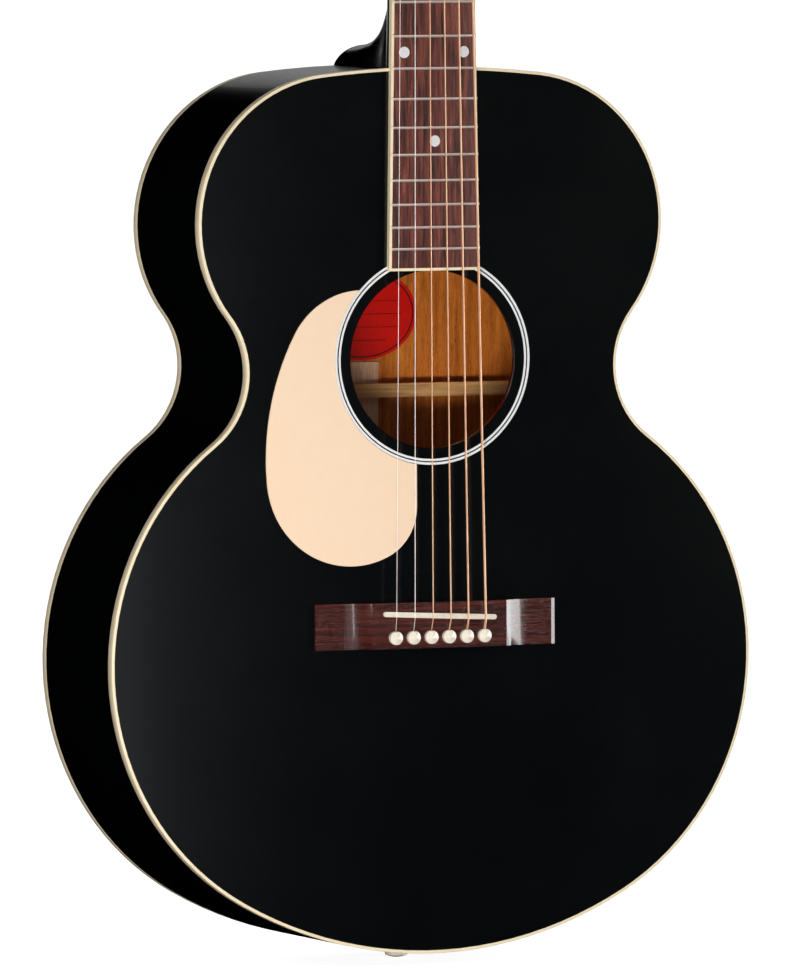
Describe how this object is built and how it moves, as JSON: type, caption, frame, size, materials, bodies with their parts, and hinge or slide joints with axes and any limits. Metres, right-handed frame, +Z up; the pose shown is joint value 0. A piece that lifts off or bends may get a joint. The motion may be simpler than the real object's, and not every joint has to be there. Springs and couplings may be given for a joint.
{
  "type": "acoustic guitar",
  "caption": "Steel-string acoustic guitar with a round-shouldered body, pinned bridge, bound fingerboard and geared tuners, strung left-handed.",
  "frame": {"origin": "on the axis of the strap button at the tail, in the middle of its head's round wall", "axes": "+Z runs up the neck to the headstock, -Y is the way the soundboard faces, +X is to the right of a viewer facing the soundboard"},
  "size_m": [0.4028, 0.1271, 1.0159],
  "materials": {
    "black_lacquer": "black satin-gloss lacquer over spruce, mahogany and maple",
    "cream_binding": "polished cream celluloid",
    "rosette_white": "polished inlay",
    "pickguard_cream": "polished peach-cream celluloid",
    "rosewood": "oiled open-grained rosewood",
    "bone": "polished bone",
    "pin_cream": "polished cream plastic",
    "pearl": "pearl-white inlay",
    "marker_black": "black plastic",
    "nickel": "nickel-silver wire, polished",
    "tuner_chrome": "polished chrome plate",
    "plain_steel": "drawn plain steel",
    "phosphor_bronze": "round-wound phosphor bronze",
    "spruce": "planed quartersawn spruce",
    "mahogany": "planed mahogany",
    "maple": "planed maple",
    "label_paper": "printed paper, matte, with no wording",
    "rod_steel": "extruded channel",
    "rod_brass": "turned brass",
    "cover_black": "polished black plastic",
    "screw_steel": "plated steel"
  },
  "bodies": {
    "guitar": {"soundboard": "black_lacquer", "side_left": "black_lacquer", "side_right": "black_lacquer", "back_plate": "black_lacquer", "neck": "black_lacquer", "heel_cap": "black_lacquer", "headstock_veneer": "black_lacquer", "top_binding": "cream_binding", "back_binding": "cream_binding", "fingerboard_binding": "cream_binding", "rosette": "rosette_white", "pickguard": "pickguard_cream", "fingerboard": "rosewood", "bridge": "rosewood", "nut": "bone", "saddle": "bone", "bridge_pins": "pin_cream", "end_pin": "pin_cream", "position_dots": "pearl", "side_dots": "marker_black", "frets": "nickel", "tuner_housings": "tuner_chrome", "tuner_bushings": "tuner_chrome", "tuner_screws": "screw_steel", "cover_screws": "screw_steel", "truss_rod": "rod_steel", "truss_rod_cover": "cover_black", "label": "label_paper", "bridge_plate": "maple", "neck_block": "mahogany", "tail_block": "mahogany", "top_lining": "mahogany", "back_lining": "mahogany", "back_strip": "spruce", "x_brace_a": "spruce", "x_brace_b": "spruce", "upper_brace": "spruce", "tone_bars": "spruce", "finger_braces": "spruce", "back_braces": "spruce", "string_1": "plain_steel", "string_2": "plain_steel", "string_3": "phosphor_bronze", "string_4": "phosphor_bronze", "string_5": "phosphor_bronze", "string_6": "phosphor_bronze"},
    "truss_nut": {"truss_rod_nut": "rod_brass"},
    "post_1": {"tuner_post_1": "tuner_chrome"},
    "button_1": {"tuner_button_1": "tuner_chrome"},
    "post_2": {"tuner_post_2": "tuner_chrome"},
    "button_2": {"tuner_button_2": "tuner_chrome"},
    "post_3": {"tuner_post_3": "tuner_chrome"},
    "button_3": {"tuner_button_3": "tuner_chrome"},
    "post_4": {"tuner_post_4": "tuner_chrome"},
    "button_4": {"tuner_button_4": "tuner_chrome"},
    "post_5": {"tuner_post_5": "tuner_chrome"},
    "button_5": {"tuner_button_5": "tuner_chrome"},
    "post_6": {"tuner_post_6": "tuner_chrome"},
    "button_6": {"tuner_button_6": "tuner_chrome"}
  },
  "joints": [
    {"name": "truss_nut_turn", "type": "hinge", "parent": "guitar", "child": "truss_nut", "pos_m": [0, -0.0521, 0.83825], "axis": [0, 0, 1], "range_deg": [-180, 180]},
    {"name": "button_1_turn", "type": "hinge", "parent": "guitar", "child": "button_1", "pos_m": [-0.021, -0.02642, 0.88159], "axis": [-1, 0, 0], "continuous": true},
    {"name": "post_1_turn", "type": "hinge", "parent": "guitar", "child": "post_1", "pos_m": [-0.021, -0.04834, 0.8784], "axis": [0, -0.9703, 0.2419], "continuous": true},
    {"name": "button_2_turn", "type": "hinge", "parent": "guitar", "child": "button_2", "pos_m": [-0.0226, -0.01674, 0.92041], "axis": [-1, 0, 0], "continuous": true},
    {"name": "post_2_turn", "type": "hinge", "parent": "guitar", "child": "post_2", "pos_m": [-0.0226, -0.03866, 0.91721], "axis": [0, -0.9703, 0.2419], "continuous": true},
    {"name": "button_3_turn", "type": "hinge", "parent": "guitar", "child": "button_3", "pos_m": [-0.0242, -0.00706, 0.95922], "axis": [-1, 0, 0], "continuous": true},
    {"name": "post_3_turn", "type": "hinge", "parent": "guitar", "child": "post_3", "pos_m": [-0.0242, -0.02899, 0.95603], "axis": [0, -0.9703, 0.2419], "continuous": true},
    {"name": "button_4_turn", "type": "hinge", "parent": "guitar", "child": "button_4", "pos_m": [0.0242, -0.00706, 0.95922], "axis": [1, 0, 0], "continuous": true},
    {"name": "post_4_turn", "type": "hinge", "parent": "guitar", "child": "post_4", "pos_m": [0.0242, -0.02899, 0.95603], "axis": [0, -0.9703, 0.2419], "continuous": true},
    {"name": "button_5_turn", "type": "hinge", "parent": "guitar", "child": "button_5", "pos_m": [0.0226, -0.01674, 0.92041], "axis": [1, 0, 0], "continuous": true},
    {"name": "post_5_turn", "type": "hinge", "parent": "guitar", "child": "post_5", "pos_m": [0.0226, -0.03866, 0.91721], "axis": [0, -0.9703, 0.2419], "continuous": true},
    {"name": "button_6_turn", "type": "hinge", "parent": "guitar", "child": "button_6", "pos_m": [0.021, -0.02642, 0.88159], "axis": [1, 0, 0], "continuous": true},
    {"name": "post_6_turn", "type": "hinge", "parent": "guitar", "child": "post_6", "pos_m": [0.021, -0.04834, 0.8784], "axis": [0, -0.9703, 0.2419], "continuous": true}
  ],
  "couplings": [
    {"joint": "post_1_turn", "follows": "button_1_turn", "ratio": -0.066667},
    {"joint": "post_2_turn", "follows": "button_2_turn", "ratio": -0.066667},
    {"joint": "post_3_turn", "follows": "button_3_turn", "ratio": -0.066667},
    {"joint": "post_4_turn", "follows": "button_4_turn", "ratio": 0.066667},
    {"joint": "post_5_turn", "follows": "button_5_turn", "ratio": 0.066667},
    {"joint": "post_6_turn", "follows": "button_6_turn", "ratio": 0.066667}
  ]
}
